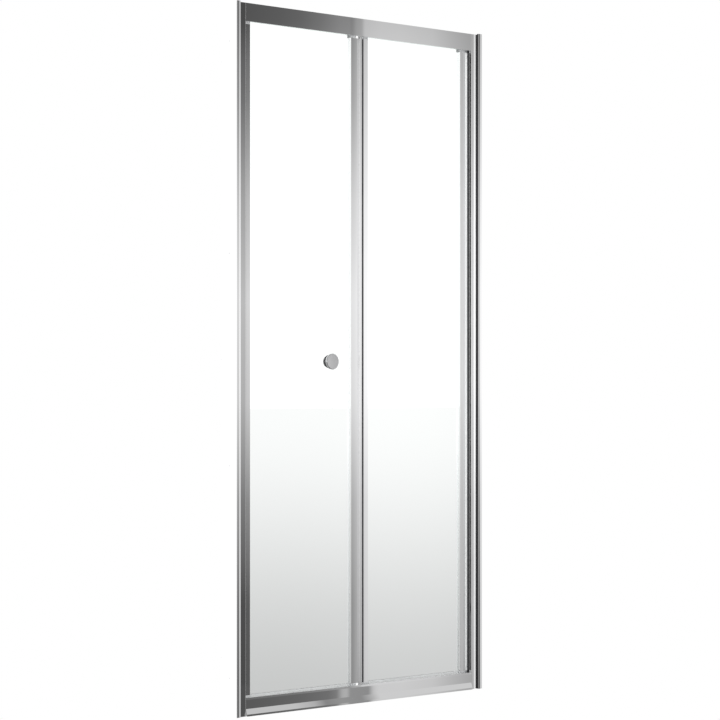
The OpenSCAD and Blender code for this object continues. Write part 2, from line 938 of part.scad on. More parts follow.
mirrored_left() wall_profile();  // wall_profile_left
wall_profile();  // wall_profile_right
mirrored_left() side_post(true);  // side_post_left
side_post(false);  // side_post_right
top_rail();
bottom_rail();
corner_screws();
profile_screws();
screw_caps();
strike_seal();
color("gainsboro") to_top() pivot_block();  // top_pivot_block
color("gainsboro") pivot_block();  // bottom_pivot_block
pivot_block_screws();
pivot_glass();
pivot_outer_stile();
pivot_fold_stile();
pivot_glass_gaskets();
color("gainsboro") to_top() pivot_cap();  // top_pivot_cap
color("gainsboro") pivot_cap();  // bottom_pivot_cap
color("silver") to_top() pivot_pin();  // top_pivot_pin
color("silver") pivot_pin();  // bottom_pivot_pin
pivot_washers();
color("gainsboro") to_top() hinge_cap();  // top_hinge_cap
color("gainsboro") hinge_cap();  // bottom_hinge_cap
hinge_pins();
pivot_side_seal();
fold_seal();
pivot_bottom_seal();
pivot_cap_screws();
lead_glass();
lead_outer_stile();
lead_fold_stile();
lead_glass_gaskets();
color("gainsboro") to_top() guide_cap();  // top_guide_cap
color("gainsboro") guide_cap();  // bottom_guide_cap
lead_fold_caps();
hinge_bushes();
guide_pins();
lead_bottom_seal();
lead_cap_screws();
knob_outer();
knob_inner();
knob_bolt();
knob_sleeve();
knob_washers();
color("white") to_top() guide_roller();  // top_guide_roller
color("white") guide_roller();  // bottom_guide_roller
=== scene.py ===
"""Finishes for a framed bifold shower door, its turned pull knob, and the pale studio."""

import math

import bmesh
import bpy
from bpy.props import FloatProperty, FloatVectorProperty, IntProperty, PointerProperty
from bpy.types import Operator, Panel, PropertyGroup
from mathutils import Matrix, Vector


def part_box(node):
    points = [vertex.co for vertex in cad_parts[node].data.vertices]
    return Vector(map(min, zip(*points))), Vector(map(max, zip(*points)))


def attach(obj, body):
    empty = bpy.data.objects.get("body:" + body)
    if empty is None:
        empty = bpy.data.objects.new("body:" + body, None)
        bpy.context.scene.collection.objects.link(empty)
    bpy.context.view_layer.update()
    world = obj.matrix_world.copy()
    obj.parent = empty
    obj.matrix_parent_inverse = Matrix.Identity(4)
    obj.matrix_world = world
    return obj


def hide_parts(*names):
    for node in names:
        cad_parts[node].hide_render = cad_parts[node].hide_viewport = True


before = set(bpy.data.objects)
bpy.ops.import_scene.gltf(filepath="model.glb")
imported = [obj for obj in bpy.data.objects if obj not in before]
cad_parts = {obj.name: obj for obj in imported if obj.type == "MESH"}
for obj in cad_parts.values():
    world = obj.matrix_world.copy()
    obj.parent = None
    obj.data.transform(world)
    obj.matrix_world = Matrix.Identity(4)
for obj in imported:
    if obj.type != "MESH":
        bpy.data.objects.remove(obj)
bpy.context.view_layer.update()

bl_info = {
    "name": "Bifold Shower Door",
    "version": (1, 0, 0),
    "blender": (4, 5, 0),
    "location": "View3D > Sidebar > Shower Door",
    "description": "Finishes, pull knob and studio for a framed bifold shower door",
    "category": "Object",
}

PROFILES = ("wall_profile_left", "wall_profile_right")
POSTS = ("side_post_left", "side_post_right")
RAILS = ("top_rail", "bottom_rail")
STILES = ("pivot_outer_stile", "pivot_fold_stile", "lead_outer_stile", "lead_fold_stile")
FASTENERS = (
    "corner_screws",
    "profile_screws",
    "pivot_block_screws",
    "top_pivot_pin",
    "bottom_pivot_pin",
    "hinge_pins",
    "pivot_cap_screws",
    "guide_pins",
    "lead_cap_screws",
    "knob_bolt",
)
GREY_MOULDINGS = (
    "screw_caps",
    "top_pivot_block",
    "bottom_pivot_block",
    "top_pivot_cap",
    "bottom_pivot_cap",
    "top_hinge_cap",
    "bottom_hinge_cap",
    "top_guide_cap",
    "bottom_guide_cap",
    "lead_fold_caps",
)
WHITE_MOULDINGS = (
    "pivot_washers",
    "hinge_bushes",
    "top_guide_roller",
    "bottom_guide_roller",
    "knob_sleeve",
)
CLEAR_SEALS = ("pivot_side_seal", "pivot_glass_gaskets", "lead_glass_gaskets")
PALE_SEALS = ("strike_seal", "pivot_bottom_seal", "lead_bottom_seal", "knob_washers")

# Directions that the drawn sections run in, as the stretch of their fine lines
ALONG_UPRIGHT = (1.0, 1.0, 0.02)
ALONG_RAIL = (0.02, 1.0, 1.0)

OUT_OF_DOOR = Vector((0.0, -1.0, 0.0))
QUARTER_TURN = math.radians(90.0)
SHARP_CORNER = math.radians(25.0)
# A face looks in a direction when the cosine between them is past this
FACING = 0.99
MERGE_DISTANCE = 1e-6
# More than the door's half-width in metres
ALL_ACROSS = 1.0

# Steps of the round shapes
TURN_STEPS = 96
HOLE_STEPS = 48
CORNER_STEPS = 3
GROUND_STEPS = 2
DISH_STEPS = 4

# Places of a Mix node's colour inputs and output
COLOUR_A, COLOUR_B, MIXED_COLOUR = 6, 7, 2


# ---- node trees ----


def put(tree, kind, values=None, **settings):
    """Adds a node, sets its settings, and links or sets its inputs."""
    node = tree.nodes.new("ShaderNode" + kind)
    for name, value in settings.items():
        setattr(node, name, value)
    for key, value in (values or {}).items():
        feed(tree, node.inputs[key], value)
    return node


def feed(tree, socket, value):
    """Links value to a socket if it is a socket itself, and otherwise sets it."""
    if isinstance(value, bpy.types.NodeSocket):
        tree.links.new(value, socket)
    else:
        socket.default_value = value


def calc(tree, operation, *values, clamp=False):
    """The result of a Math node."""
    numbers = dict(enumerate(values))
    return put(tree, "Math", numbers, operation=operation, use_clamp=clamp).outputs[0]


def blend(tree, share, first, second):
    """A number between first and second by share."""
    values = {"Factor": share, "A": first, "B": second}
    return put(tree, "Mix", values, data_type="FLOAT").outputs["Result"]


def span(tree, value, low, high, to_low=0.0, to_high=1.0, **settings):
    """Maps value from low..high to to_low..to_high, and holds it at the ends."""
    values = {"Value": value, "From Min": low, "From Max": high}
    values.update({"To Min": to_low, "To Max": to_high})
    return put(tree, "MapRange", values, clamp=True, **settings).outputs["Result"]


def ramp(tree, value, stops):
    """A grey that follows (place, brightness) stops along value."""
    low, high = stops[0][0], stops[-1][0]
    node = put(tree, "ValToRGB", {"Fac": span(tree, value, low, high)})
    marks = node.color_ramp.elements
    for place, grey in stops[1:-1]:
        marks.new((place - low) / (high - low)).color = (grey, grey, grey, 1.0)
    marks[0].color = (stops[0][1],) * 3 + (1.0,)
    marks[-1].color = (stops[-1][1],) * 3 + (1.0,)
    return node.outputs["Color"]


def noise(tree, place, scale, detail=2.0):
    """A soft noise from 0 to 1."""
    values = {"Vector": place, "Scale": scale, "Detail": detail}
    return put(tree, "TexNoise", values).outputs["Fac"]


def shape_group(name, inputs, outputs):
    """A new shader node group, with its input and output sockets."""
    group = bpy.data.node_groups.new(name, "ShaderNodeTree")
    for label, kind, default in inputs:
        socket = group.interface.new_socket(label, in_out="INPUT", socket_type=kind)
        if default is not None:
            socket.default_value = default
    for label, kind in outputs:
        group.interface.new_socket(label, in_out="OUTPUT", socket_type=kind)
    start = group.nodes.new("NodeGroupInput")
    end = group.nodes.new("NodeGroupOutput")
    return group, start.outputs, end.inputs


def shared_group(name, make):
    """The node group of that name, made if it isn't there yet."""
    return bpy.data.node_groups.get(name) or make(name)


def use_group(tree, group, values):
    """Places a node group in a material."""
    node = tree.nodes.new("ShaderNodeGroup")
    node.node_tree = group
    for key, value in values.items():
        feed(tree, node.inputs[key], value)
    return node.outputs


def empty_tree(owner):
    """The node tree of a material or a world, with nothing in it."""
    owner.use_nodes = True
    owner.node_tree.nodes.clear()
    return owner.node_tree


def new_material(name):
    """An empty material with a Principled shader, and a place to read patterns from."""
    material = bpy.data.materials.new(name)
    tree = empty_tree(material)
    shader = put(tree, "BsdfPrincipled")
    put(tree, "OutputMaterial", {"Surface": shader.outputs[0]})
    place = put(tree, "TexCoord").outputs["Object"]
    return material, tree, shader.inputs, place


def emboss(tree, shader, height, strength, depth):
    """Raises a height by depth metres in a shader's normal."""
    values = {"Height": height, "Strength": strength, "Distance": depth}
    feed(tree, shader["Normal"], put(tree, "Bump", values).outputs["Normal"])


def dress(material, *names):
    """Gives CAD nodes a material in all their slots."""
    for name in names:
        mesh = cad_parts[name].data
        if not mesh.materials:
            mesh.materials.append(material)
        for index in range(len(mesh.materials)):
            mesh.materials[index] = material


# ---- shaping ----


def spin_outline(work, outline, centre, closed=False):
    """Turns an outline of (radius, depth) points about a line along Y through centre."""
    points = [work.verts.new((centre.x + radius, depth, centre.z)) for radius, depth in outline]
    ends = points[1:] + points[:1] if closed else points[1:]
    lines = [work.edges.new(pair) for pair in zip(points, ends)]
    bmesh.ops.spin(
        work,
        geom=points + lines,
        cent=centre,
        axis=OUT_OF_DOOR,
        angle=math.tau,
        steps=TURN_STEPS,
        use_merge=True,
    )
    bmesh.ops.remove_doubles(work, verts=work.verts, dist=MERGE_DISTANCE)
    bmesh.ops.recalc_face_normals(work, faces=work.faces)


def round_corners(work, width, segments=CORNER_STEPS):
    """Rounds every sharp edge."""
    corners = [
        edge
        for edge in work.edges
        if len(edge.link_faces) == 2 and edge.calc_face_angle() > SHARP_CORNER
    ]
    bmesh.ops.bevel(
        work,
        geom=corners,
        offset=width,
        offset_type="OFFSET",
        segments=segments,
        profile=0.5,
        affect="EDGES",
        clamp_overlap=True,
        material=-1,
    )


def finish_piece(context, work, name, materials):
    """Makes an object of a shaped mesh, with its place in the mesh."""
    mesh = bpy.data.meshes.new(name)
    work.to_mesh(mesh)
    work.free()
    mesh.shade_smooth()
    for material in materials:
        mesh.materials.append(material)
    piece = bpy.data.objects.new(name, mesh)
    context.scene.collection.objects.link(piece)
    piece.modifiers.new("Even normals", "WEIGHTED_NORMAL")
    return piece


# ---- shared effects ----

# Noises: scale in marks to a metre, detail, and the values that the noise is read between
SMEAR_SCALE, SMEAR_DETAIL, SMEAR_SPAN = 14.0, 4.0, (0.45, 0.75)
LINE_SCALE, LINE_DETAIL, FINE_LINE_SCALE = 60.0, 1.0, 900.0
CLOUD_SCALE, CLOUD_DETAIL, CLOUD_SPAN = 40.0, 3.0, (0.3, 0.7)
RING_SPAN = (0.35, 0.65)
# Grains to a metre in plastic, and in rubber
PLASTIC_GRAIN, RUBBER_GRAIN = 1400.0, 900.0
# Height of the fine lines beside the waves, and roughness that the clouding and the rings add
FINE_LINE_SHARE = 0.15
CLOUD_ROUGHNESS = 0.15
RING_ROUGHNESS = 0.08


def make_drawn_lines(name):
    """Fine lines and soft waves along a drawn section, and hand marks in its polish."""
    group, given, made = shape_group(
        name,
        [
            ("Position", "NodeSocketVector", None),
            ("Along", "NodeSocketVector", ALONG_UPRIGHT),
            ("Polish", "NodeSocketFloat", 0.05),
            ("Marks", "NodeSocketFloat", 0.015),
        ],
        [("Roughness", "NodeSocketFloat"), ("Height", "NodeSocketFloat")],
    )
    stretch = put(
        group, "VectorMath", {0: given["Position"], 1: given["Along"]}, operation="MULTIPLY"
    ).outputs[0]
    hands = noise(group, given["Position"], SMEAR_SCALE, SMEAR_DETAIL)
    smear = span(group, hands, *SMEAR_SPAN)
    waves = noise(group, stretch, LINE_SCALE, LINE_DETAIL)
    fine = calc(group, "MULTIPLY", noise(group, stretch, FINE_LINE_SCALE), FINE_LINE_SHARE)
    rough = calc(group, "MULTIPLY_ADD", smear, given["Marks"], given["Polish"])
    feed(group, made["Roughness"], rough)
    feed(group, made["Height"], calc(group, "ADD", waves, fine))
    return group


def make_strip(name):
    """One colour between two corners as seen from above, mirrored in the door's middle, and
    another elsewhere."""
    group, given, made = shape_group(
        name,
        [
            ("Position", "NodeSocketVector", None),
            ("Lowest", "NodeSocketVector", None),
            ("Highest", "NodeSocketVector", None),
            ("Outside", "NodeSocketColor", (0.0, 0.0, 0.0, 1.0)),
            ("Inside", "NodeSocketColor", (1.0, 1.0, 1.0, 1.0)),
        ],
        [("Colour", "NodeSocketColor")],
    )
    places = []
    for label in ("Position", "Lowest", "Highest"):
        places.append(put(group, "SeparateXYZ", {"Vector": given[label]}).outputs)
    here, lowest, highest = places
    within = []
    for axis, value in (("X", calc(group, "ABSOLUTE", here["X"])), ("Y", here["Y"])):
        above = calc(group, "GREATER_THAN", value, lowest[axis])
        below = calc(group, "LESS_THAN", value, highest[axis])
        within.append(calc(group, "MULTIPLY", above, below))
    inside = calc(group, "MULTIPLY", *within)
    values = {"Factor": inside, COLOUR_A: given["Outside"], COLOUR_B: given["Inside"]}
    mixed = put(group, "Mix", values, data_type="RGBA")
    feed(group, made["Colour"], mixed.outputs[MIXED_COLOUR])
    return group


def make_moulded_skin(name):
    """Fine spark texture and faint clouding for moulded pieces and seals."""
    group, given, made = shape_group(
        name,
        [
            ("Position", "NodeSocketVector", None),
            ("Grain", "NodeSocketFloat", PLASTIC_GRAIN),
            ("Polish", "NodeSocketFloat", 0.4),
            ("Colour", "NodeSocketColor", (0.5, 0.5, 0.5, 1.0)),
            ("Shade", "NodeSocketFloat", 0.9),
        ],
        [
            ("Colour", "NodeSocketColor"),
            ("Roughness", "NodeSocketFloat"),
            ("Height", "NodeSocketFloat"),
        ],
    )
    cloud = noise(group, given["Position"], CLOUD_SCALE, CLOUD_DETAIL)
    shade = span(group, cloud, *CLOUD_SPAN, given["Shade"], 1.0)
    tint = put(
        group, "VectorMath", {0: given["Colour"], "Scale": shade}, operation="SCALE"
    ).outputs[0]
    feed(group, made["Colour"], tint)
    rough = calc(group, "MULTIPLY_ADD", cloud, CLOUD_ROUGHNESS, given["Polish"])
    feed(group, made["Roughness"], rough)
    feed(group, made["Height"], noise(group, given["Position"], given["Grain"]))
    return group


def make_seal_light(name):
    """A colour that is dimmer near the floor, for the painted light of the gaskets' glow and the
    painted shade of their lips.
    """
    group, given, made = shape_group(
        name,
        [
            ("Position", "NodeSocketVector", None),
            ("Low", "NodeSocketFloat", 0.1),
            ("High", "NodeSocketFloat", 0.8),
            ("Least", "NodeSocketFloat", 0.3),
            ("Colour", "NodeSocketColor", (1.0, 1.0, 1.0, 1.0)),
        ],
        [("Colour", "NodeSocketColor")],
    )
    height = put(group, "SeparateXYZ", {"Vector": given["Position"]}).outputs["Z"]
    share = span(group, height, given["Low"], given["High"], given["Least"], 1.0)
    values = {0: given["Colour"], "Scale": share}
    feed(group, made["Colour"], put(group, "VectorMath", values, operation="SCALE").outputs[0])
    return group


def make_turned_rings(name):
    """Fine rings about a line along Y, as a lathe leaves them."""
    group, given, made = shape_group(
        name,
        [
            ("Position", "NodeSocketVector", None),
            ("Pitch", "NodeSocketFloat", 0.0006),
            ("Polish", "NodeSocketFloat", 0.2),
        ],
        [("Roughness", "NodeSocketFloat"), ("Height", "NodeSocketFloat")],
    )
    flat = put(
        group,
        "VectorMath",
        {0: given["Position"], 1: (1.0, 0.0, 1.0)},
        operation="MULTIPLY",
    ).outputs[0]
    radius = put(group, "VectorMath", {0: flat}, operation="LENGTH").outputs["Value"]
    ring = calc(group, "DIVIDE", radius, given["Pitch"])
    tone = put(group, "TexNoise", {"W": ring, "Scale": 1.0}, noise_dimensions="1D").outputs["Fac"]
    marks = span(group, tone, *RING_SPAN)
    rough = calc(group, "MULTIPLY_ADD", marks, RING_ROUGHNESS, given["Polish"])
    feed(group, made["Roughness"], rough)
    feed(group, made["Height"], tone)
    return group


# ---- materials ----

# Depths of the patterns in metres
LINE_DEPTH = 0.0002
RING_DEPTH = 0.00005
GRAIN_DEPTH = 0.0001
# Pitch in metres and strength of the turned rings
FACE_RINGS = (0.0004, 0.25)
SIDE_RINGS = (0.002, 0.05)
# Least and most roughness of the glass, of its ground edges and of the steel
CLEAR_HAZE = (0.0, 0.02)
GROUND_HAZE = (0.25, 0.35)
STEEL_ROUGHNESS = (0.22, 0.4)
# Noises of the glass and of the steel
HAZE_SCALE, HAZE_DETAIL, HAZE_SPAN = 6.0, 3.0, (0.4, 0.8)
STEEL_SCALE = 300.0
GLASS_IOR = 1.5


def strip_colour(tree, place, corners, colours):
    """The colour of a strip between its lowest and highest corners."""
    values = {"Position": place, "Lowest": corners[0], "Highest": corners[1], **colours}
    return use_group(tree, shared_group("Strip", make_strip), values)["Colour"]


def drawn_metal(name, colour, along, finishes, painted_shade=None, lit=None):
    """Bright polished aluminium, with its lines along the section.

    Two optional pairs of lowest and highest corners give two strips. One is a near-black strip of
    painted shade, standing in for the shade in the gap beside it. The other lies behind the wall
    holes and glows as painted light, so that the holes don't show as dark dots."""
    material, tree, shader, place = new_material(name)
    values = {"Position": place, "Along": along, "Polish": finishes.metal_roughness}
    values["Marks"] = finishes.mark_roughness
    skin = use_group(tree, shared_group("Drawn lines", make_drawn_lines), values)
    shader["Base Color"].default_value = (*colour, 1.0)
    # Painted shade: the strip's base colour is near-black where the gap beside it lies in shade
    if painted_shade:
        colours = {"Outside": (*colour, 1.0), "Inside": (*finishes.painted_shade_colour, 1.0)}
        feed(tree, shader["Base Color"], strip_colour(tree, place, painted_shade, colours))
    # Painted light: the strip behind the wall holes glows
    if lit:
        feed(tree, shader["Emission Color"], strip_colour(tree, place, lit, {}))
        shader["Emission Strength"].default_value = finishes.painted_hole_glow
    shader["Metallic"].default_value = 1.0
    feed(tree, shader["Roughness"], skin["Roughness"])
    emboss(tree, shader, skin["Height"], finishes.line_strength, LINE_DEPTH)
    return material


def turned_metal(name, colour, polish, centre, rings):
    """Turned metal, with its rings about centre."""
    pitch, strength = rings
    material, tree, shader, place = new_material(name)
    mapping = put(tree, "Mapping", {"Vector": place, "Location": tuple(-centre)})
    values = {"Position": mapping.outputs[0], "Pitch": pitch, "Polish": polish}
    skin = use_group(tree, shared_group("Turned rings", make_turned_rings), values)
    shader["Base Color"].default_value = (*colour, 1.0)
    shader["Metallic"].default_value = 1.0
    feed(tree, shader["Roughness"], skin["Roughness"])
    emboss(tree, shader, skin["Height"], strength, RING_DEPTH)
    return material


def moulding(name, colour, polish, finishes, grain=PLASTIC_GRAIN):
    """Moulded plastic or rubber with a fine texture."""
    material, tree, shader, place = new_material(name)
    values = {"Position": place, "Colour": (*colour, 1.0), "Polish": polish, "Grain": grain}
    skin = use_group(tree, shared_group("Moulded skin", make_moulded_skin), values)
    feed(tree, shader["Base Color"], skin["Colour"])
    feed(tree, shader["Roughness"], skin["Roughness"])
    emboss(tree, shader, skin["Height"], finishes.grain_strength, GRAIN_DEPTH)
    return material, shader


def clear_glass(name, tint, haze):
    """Clear glass, with the least and most roughness of its faint haze."""
    material, tree, shader, place = new_material(name)
    shader["Base Color"].default_value = (*tint, 1.0)
    shader["Transmission Weight"].default_value = 1.0
    shader["Metallic"].default_value = 0.0
    shader["IOR"].default_value = GLASS_IOR
    cloud = noise(tree, place, HAZE_SCALE, HAZE_DETAIL)
    feed(tree, shader["Roughness"], span(tree, cloud, *HAZE_SPAN, *haze))
    return material


# ---- settings ----


def colour_setting(name, description, default):
    """A colour of a finish."""
    return FloatVectorProperty(
        name=name, description=description, subtype="COLOR", size=3, default=default
    )


def share_setting(name, description, default):
    """A share from 0 to 1."""
    return FloatProperty(
        name=name, description=description, subtype="FACTOR", min=0.0, max=1.0, default=default
    )


def length_setting(name, description, default):
    """A length in metres."""
    return FloatProperty(
        name=name, description=description, subtype="DISTANCE", unit="LENGTH", default=default
    )


class DoorFinishes(PropertyGroup):
    """Colours and surface qualities of the door's pieces."""

    frame_colour: colour_setting(
        "Frame metal", "Colour of the profiles, posts and rails", (0.86, 0.86, 0.865)
    )
    panel_colour: colour_setting("Panel metal", "Colour of the stiles", (0.9, 0.9, 0.905))
    # Painted shade: near-black colour for strips standing in for the shade in the gaps beside the
    # posts and wall profiles
    painted_shade_colour: colour_setting(
        "Dull strips", "Colour of the strips left dull", (0.05, 0.05, 0.052)
    )
    # Painted shade: how deep and how far the near-black strips reach
    painted_shade_depth: share_setting("Dull depth", "Share of a wall profile's step that is dull", 0.85)
    painted_shade_reach: length_setting("Dull reach", "Distance from a dull face that is still dull", 0.0003)
    metal_roughness: share_setting(
        "Metal roughness", "Roughness of the sections where no hand marks lie", 0.01
    )
    mark_roughness: share_setting("Hand marks", "Roughness that the hand marks add", 0.004)
    line_strength: share_setting("Drawn lines", "Strength of the lines along the sections", 0.003)
    # Painted light: the posts' hidden faces behind the wall holes glow, so that the holes don't
    # look dark
    painted_hole_glow: share_setting(
        "Hole glow", "Glow of the posts' hidden faces behind the wall holes", 0.38
    )
    knob_colour: colour_setting("Knob face", "Colour of the knob's face", (0.72, 0.72, 0.73))
    knob_rim_colour: colour_setting("Knob rim", "Colour of the face's rim", (0.6, 0.6, 0.61))
    knob_body_colour: colour_setting("Knob body", "Colour of the grip", (0.13, 0.13, 0.135))
    knob_face_roughness: share_setting(
        "Knob face roughness", "Roughness of the knob's satin face", 0.3
    )
    knob_side_roughness: share_setting(
        "Knob side roughness", "Roughness of the knob's polished side", 0.06
    )
    glass_tint: colour_setting("Glass", "Tint of the panes", (0.985, 1.0, 0.993))
    glass_edge: colour_setting("Glass edge", "Tint of the panes' ground edges", (0.8, 0.95, 0.89))
    steel_colour: colour_setting(
        "Steel", "Colour of the screws, pins and bolt", (0.62, 0.63, 0.64)
    )
    grey_colour: colour_setting(
        "Grey mouldings", "Colour of the caps and blocks", (0.78, 0.79, 0.8)
    )
    grey_roughness: share_setting("Grey roughness", "Roughness of the caps and blocks", 0.3)
    white_colour: colour_setting(
        "White mouldings", "Colour of the rollers, bushes, washers and sleeve", (0.8, 0.8, 0.78)
    )
    white_roughness: share_setting(
        "White roughness", "Roughness of the rollers, bushes, washers and sleeve", 0.35
    )
    seal_colour: colour_setting(
        "Seals", "Colour of the vinyl seals and gaskets", (0.96, 0.975, 0.975)
    )
    seal_roughness: share_setting("Seal roughness", "Roughness of the vinyl", 0.3)
    seal_glow: share_setting(
        "Seal glow", "Glow that stands in for light through the clear vinyl", 0.32
    )
    glow_low: length_setting("Dim height", "Height up to which the glow is least", 0.12)
    glow_high: length_setting("Bright height", "Height from which the glow is full", 0.75)
    # Painted shade: a gasket lip's colour is darker near the floor
    lip_shade: share_setting("Lip shade", "Share of a gasket lip's colour near the floor", 0.75)
    rubber_colour: colour_setting(
        "Fold seal", "Colour of the strip in the fold", (0.11, 0.11, 0.115)
    )
    rubber_roughness: share_setting(
        "Fold seal roughness", "Roughness of the strip in the fold", 0.55
    )
    grain_strength: share_setting("Moulded grain", "Strength of the moulded texture", 0.25)


class KnobShape(PropertyGroup):
    """Sizes of the turned pull knob and its plate, inside the knob's overall size."""

    body_radius: length_setting("Body radius", "Radius of the body behind the face", 0.0185)
    face_depth: length_setting("Face depth", "Thickness of the face's disc", 0.006)
    face_dish: length_setting("Dish", "How deep the face is dished", 0.0004)
    rim: length_setting("Rim", "Width of the slope round the face", 0.0015)
    corner: length_setting("Corner", "Radius that breaks the sharp corners", 0.0005)
    groove_depth: length_setting("Groove depth", "Depth of the grip grooves", 0.0016)
    groove_land: length_setting("Land", "Width of the land between two grooves", 0.0006)
    groove_count: IntProperty(
        name="Grooves", description="Number of grip grooves", min=1, max=4, default=2
    )
    bore_radius: length_setting("Plate bore", "Radius of the plate's hole for the bolt", 0.0032)
    recess_radius: length_setting("Recess", "Radius of the recess for the bolt's head", 0.00605)
    recess_depth: length_setting("Recess depth", "Depth of the recess in the plate", 0.0025)


class PaneShape(PropertyGroup):
    """Details of the two glass panes."""

    ground_edge: length_setting("Ground edge", "Width of the ground bevel", 0.0008)
    hole_radius: length_setting("Knob hole", "Radius of the hole for the knob's bolt", 0.006)


class DoorStudio(PropertyGroup):
    """Camera, floor and light."""

    camera_place: FloatVectorProperty(
        name="Camera place",
        description="Where the camera stands",
        subtype="TRANSLATION",
        unit="LENGTH",
        size=3,
        default=(-4.0840, -4.6949, 0.8591),
    )
    camera_turn: FloatProperty(
        name="Camera turn",
        description="Turn of the level camera from straight ahead towards the pivot side",
        subtype="ANGLE",
        default=math.radians(41.085),
    )
    camera_lens: FloatProperty(
        name="Lens",
        description="Focal length of the camera",
        subtype="DISTANCE_CAMERA",
        default=114.57,
    )
    camera_rise: FloatProperty(
        name="Rise",
        description="Upward shift of the camera's frame",
        default=0.0347,
    )
    floor_size: length_setting("Floor", "Width of the floor", 120.0)
    white_light: FloatProperty(
        name="White light",
        description="Strength of the even white light",
        min=0.0,
        default=1.0,
    )
    through_light: FloatProperty(
        name="Light through glass",
        description="Strength of the white that is seen through the panes",
        min=0.0,
        default=1.15,
    )
    side_light: FloatProperty(
        name="Side light",
        description="Strength of the white beside the lead panel, mirrored in the sections' sides",
        min=0.0,
        default=1.3,
    )


SETTINGS = {
    "shower_door_finishes": DoorFinishes,
    "shower_door_knob": KnobShape,
    "shower_door_panes": PaneShape,
    "shower_door_studio": DoorStudio,
}


# ---- door ----


class FinishSections(Operator):
    """Bright metal on the wall profiles, posts, rails and stiles, with strips of painted shade on
    the posts and profiles and of painted light on the posts.
    """

    bl_idname = "shower_door.finish_sections"
    bl_label = "Finish Metal Sections"

    def execute(self, context):
        finishes = context.scene.shower_door_finishes
        frame_colour, panel_colour = finishes.frame_colour, finishes.panel_colour
        # Posts and profiles get near-black strips of painted shade in the gaps; the posts also get
        # a glowing strip of painted light behind the wall holes
        painted_shade_beside_panel, painted_light_behind_holes, painted_shade_beside_post = self.strips(finishes)
        posts = drawn_metal(
            "bright_posts", frame_colour, ALONG_UPRIGHT, finishes, painted_shade_beside_panel, painted_light_behind_holes
        )
        profiles = drawn_metal(
            "bright_profiles", frame_colour, ALONG_UPRIGHT, finishes, painted_shade_beside_post
        )
        rails = drawn_metal("bright_rails", frame_colour, ALONG_RAIL, finishes)
        stiles = drawn_metal("bright_stiles", panel_colour, ALONG_UPRIGHT, finishes)
        dress(posts, *POSTS)
        dress(profiles, *PROFILES)
        dress(rails, *RAILS)
        dress(stiles, *STILES)
        return {"FINISHED"}

    def strips(self, finishes):
        """Corners of the posts' painted shade and painted light strips, and of the profiles'
        painted shade strip.
        """
        post_low, post_high = (Vector(corner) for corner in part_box("side_post_right"))
        stile_low, stile_high = (Vector(corner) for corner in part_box("pivot_outer_stile"))
        profile_low = Vector(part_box("wall_profile_right")[0])
        gap = post_low.x - stile_high.x
        lip_y = post_low.y + (profile_low.y - post_low.y) * finishes.painted_shade_depth
        return (
            self.strip(finishes, post_low.x, stile_low.y - gap, stile_low.y),
            self.strip(finishes, post_high.x, post_low.y, -post_low.y),
            self.strip(finishes, profile_low.x, lip_y, -lip_y),
        )

    def strip(self, finishes, face_x, low_y, high_y):
        """Lowest and highest corners of a strip on a face that looks along X."""
        near = finishes.painted_shade_reach
        return (face_x - near, low_y, 0.0), (face_x + near, high_y, 0.0)


class BuildPanes(Operator):
    """Two panes of clear safety glass with ground edges."""

    bl_idname = "shower_door.build_panes"
    bl_label = "Build Glass Panes"

    def execute(self, context):
        finishes = context.scene.shower_door_finishes
        glass = clear_glass("safety_glass", finishes.glass_tint, CLEAR_HAZE)
        edge = clear_glass("ground_glass_edge", finishes.glass_edge, GROUND_HAZE)
        for side in ("pivot", "lead"):
            piece = self.pane(context, side, (glass, edge))
            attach(piece, side + "_panel")
            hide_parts(side + "_glass")
        return {"FINISHED"}

    def pane(self, context, side, materials):
        """A pane the size of its CAD piece, with the knob's hole in the lead one."""
        shape = context.scene.shower_door_panes
        low, high = (Vector(corner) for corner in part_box(side + "_glass"))
        work = bmesh.new()
        places = ((low.x, low.z), (high.x, low.z), (high.x, high.z), (low.x, high.z))
        corners = [work.verts.new((x, low.y, z)) for x, z in places]
        for pair in zip(corners, corners[1:] + corners[:1]):
            work.edges.new(pair)
        if side == "lead":
            knob_low, knob_high = (Vector(corner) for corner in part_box("knob_outer"))
            middle = (knob_low + knob_high) / 2
            place = Matrix.Translation((middle.x, low.y, middle.z))
            upright = Matrix.Rotation(QUARTER_TURN, 4, "X")
            bmesh.ops.create_circle(
                work, segments=HOLE_STEPS, radius=shape.hole_radius, matrix=place @ upright
            )
        bmesh.ops.triangle_fill(work, use_beauty=True, edges=work.edges[:])
        back = bmesh.ops.extrude_face_region(work, geom=work.faces[:])
        moved = [item for item in back["geom"] if isinstance(item, bmesh.types.BMVert)]
        bmesh.ops.translate(work, verts=moved, vec=(0.0, high.y - low.y, 0.0))
        bmesh.ops.recalc_face_normals(work, faces=work.faces)
        round_corners(work, shape.ground_edge, segments=GROUND_STEPS)
        for face in work.faces:
            face.material_index = 0 if abs(face.normal.y) > FACING else 1
        return finish_piece(context, work, side + "_pane", materials)


class FinishMouldings(Operator):
    """Moulded plastic on the caps, blocks, rollers and bushes, and rubber in the fold."""

    bl_idname = "shower_door.finish_mouldings"
    bl_label = "Finish Mouldings"

    def execute(self, context):
        finishes = context.scene.shower_door_finishes
        colour, polish = finishes.grey_colour, finishes.grey_roughness
        grey, _ = moulding("grey_moulding", colour, polish, finishes)
        colour, polish = finishes.white_colour, finishes.white_roughness
        white, _ = moulding("white_moulding", colour, polish, finishes)
        colour, polish = finishes.rubber_colour, finishes.rubber_roughness
        dark, _ = moulding("dark_rubber", colour, polish, finishes, grain=RUBBER_GRAIN)
        dress(grey, *GREY_MOULDINGS)
        dress(white, *WHITE_MOULDINGS)
        dress(dark, "fold_seal")
        return {"FINISHED"}


